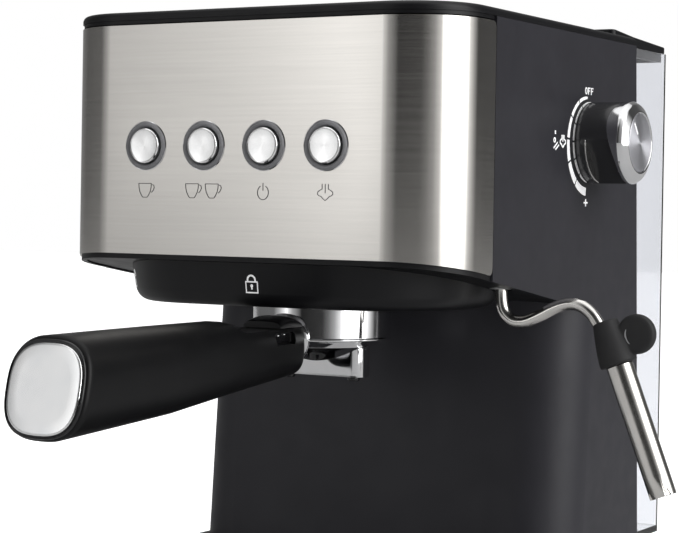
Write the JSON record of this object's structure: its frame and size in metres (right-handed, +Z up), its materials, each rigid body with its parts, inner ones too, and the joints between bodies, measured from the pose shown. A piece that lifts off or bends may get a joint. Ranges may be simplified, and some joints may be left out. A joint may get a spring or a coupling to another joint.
{
  "type": "espresso machine",
  "caption": "Compact pump espresso machine with a locking portafilter, side steam knob and wand, sliding drip tray and rear water tank.",
  "frame": {"origin": "middle of the housing's footprint, on the worktop", "axes": "+Z up, -Y towards the user's side with the buttons and handle, +X towards the steam wand"},
  "size_m": [0.2689, 0.3737, 0.2983],
  "materials": {
    "black_satin_plastic": "fine satin moulding",
    "charcoal_plastic": "satin charcoal moulding",
    "brushed_panel": "horizontal brushing",
    "steel_plain": "pressed and lightly brushed",
    "chrome_casting": "polished casting",
    "button_metal": "spun, radial glints",
    "ring_gloss": "gloss grey-black ring",
    "gloss_black": "gloss black",
    "satin_silver": "satin silver plate",
    "wand_steel": "polished stainless",
    "rubber_black": "matt black rubber",
    "tank_clear": "clear moulded polymer",
    "cast_alloy": "die cast, unpolished",
    "brass": "machined",
    "silicone": "milky silicone tube",
    "board_green": "circuit board",
    "gasket_rubber": "heat resisting seal",
    "grey_plastic": "natural moulding"
  },
  "bodies": {
    "machine": {"base_pan": "black_satin_plastic", "base_floor": "charcoal_plastic", "feet": "rubber_black", "body_shell": "charcoal_plastic", "rear_cover": "black_satin_plastic", "front_panel": "brushed_panel", "front_frame": "black_satin_plastic", "underside_panel": "black_satin_plastic", "top_cover": "black_satin_plastic", "warming_plate": "steel_plain", "group_collar": "black_satin_plastic", "bayonet_ring": "cast_alloy", "group_head": "cast_alloy", "group_gasket": "gasket_rubber", "shower_screen": "steel_plain", "shower_screw": "steel_plain", "boiler": "cast_alloy", "boiler_bolts": "steel_plain", "thermostat": "grey_plastic", "thermal_fuse": "grey_plastic", "pump": "grey_plastic", "pump_mounts": "rubber_black", "relief_valve": "brass", "steam_valve": "brass", "feed_hose": "silicone", "pressure_hose": "silicone", "steam_pipe": "wand_steel", "wand_pipe": "wand_steel", "control_board": "board_green", "button_switches": "grey_plastic", "one_cup_ring": "ring_gloss", "two_cup_ring": "ring_gloss", "power_ring": "ring_gloss", "steam_ring": "ring_gloss", "tank_dock": "grey_plastic", "power_gland": "grey_plastic", "wand_bushing": "grey_plastic", "case_screws": "steel_plain"},
    "one_cup_button": {"one_cup_button": "button_metal"},
    "two_cup_button": {"two_cup_button": "button_metal"},
    "power_button": {"power_button": "button_metal"},
    "steam_button": {"steam_button": "button_metal"},
    "steam_knob": {"knob_body": "gloss_black", "knob_cap": "chrome_casting", "valve_spindle": "brass"},
    "steam_wand": {"wand_tube": "wand_steel", "wand_grip": "rubber_black", "froth_sleeve": "wand_steel"},
    "portafilter": {"filter_bowl": "chrome_casting", "spout": "chrome_casting", "handle": "black_satin_plastic", "handle_end_cap": "satin_silver", "filter_basket": "steel_plain"},
    "basket_clip": {"basket_clip": "black_satin_plastic"},
    "drip_tray": {"drip_tray": "black_satin_plastic"},
    "drip_grid": {"drip_grid": "steel_plain"},
    "tray_float": {"tray_float": "grey_plastic"},
    "water_tank": {"water_tank": "tank_clear"},
    "tank_lid": {"tank_lid": "black_satin_plastic"},
    "tank_valve": {"tank_valve": "grey_plastic"}
  },
  "joints": [
    {"name": "one_cup_press", "type": "slide", "parent": "machine", "child": "one_cup_button", "axis": [0, 1, 0], "range_m": [0, 0.0015], "stiffness_N_per_m": 600, "springref_m": -0.0008},
    {"name": "two_cup_press", "type": "slide", "parent": "machine", "child": "two_cup_button", "axis": [0, 1, 0], "range_m": [0, 0.0015], "stiffness_N_per_m": 600, "springref_m": -0.0008},
    {"name": "power_press", "type": "slide", "parent": "machine", "child": "power_button", "axis": [0, 1, 0], "range_m": [0, 0.0015], "stiffness_N_per_m": 600, "springref_m": -0.0008},
    {"name": "steam_press", "type": "slide", "parent": "machine", "child": "steam_button", "axis": [0, 1, 0], "range_m": [0, 0.0015], "stiffness_N_per_m": 600, "springref_m": -0.0008},
    {"name": "steam_knob_turn", "type": "hinge", "parent": "machine", "child": "steam_knob", "pos_m": [0.1, 0.017, 0.2428], "axis": [1, 0, 0], "range_deg": [0, 180]},
    {"name": "wand_swing", "type": "hinge", "parent": "machine", "child": "steam_wand", "pos_m": [0.088, -0.0464, 0.178], "axis": [0, 0, 1], "range_deg": [-90, 45]},
    {"name": "portafilter_turn", "type": "hinge", "parent": "machine", "child": "portafilter", "pos_m": [0, -0.05, 0.176], "axis": [0, 0, 1], "range_deg": [-45, 0]},
    {"name": "basket_clip_flip", "type": "hinge", "parent": "portafilter", "child": "basket_clip", "pos_m": [0, -0.1008, 0.1598], "axis": [1, 0, 0], "range_deg": [0, 10]},
    {"name": "drip_tray_slide", "type": "slide", "parent": "machine", "child": "drip_tray", "axis": [0, -1, 0], "range_m": [0, 0.115]},
    {"name": "drip_grid_lift", "type": "slide", "parent": "drip_tray", "child": "drip_grid", "axis": [0, 0, 1], "range_m": [0, 0.06]},
    {"name": "tray_float_rise", "type": "slide", "parent": "drip_tray", "child": "tray_float", "axis": [0, 0, 1], "range_m": [0, 0.012]},
    {"name": "tank_lift", "type": "slide", "parent": "machine", "child": "water_tank", "axis": [0, 0, 1], "range_m": [0, 0.24]},
    {"name": "tank_lid_open", "type": "hinge", "parent": "water_tank", "child": "tank_lid", "pos_m": [0, 0.1205, 0.2942], "axis": [-1, 0, 0], "range_deg": [0, 95]},
    {"name": "tank_valve_lift", "type": "slide", "parent": "water_tank", "child": "tank_valve", "axis": [0, 0, 1], "range_m": [0, 0.003], "stiffness_N_per_m": 300, "springref_m": -0.001}
  ]
}
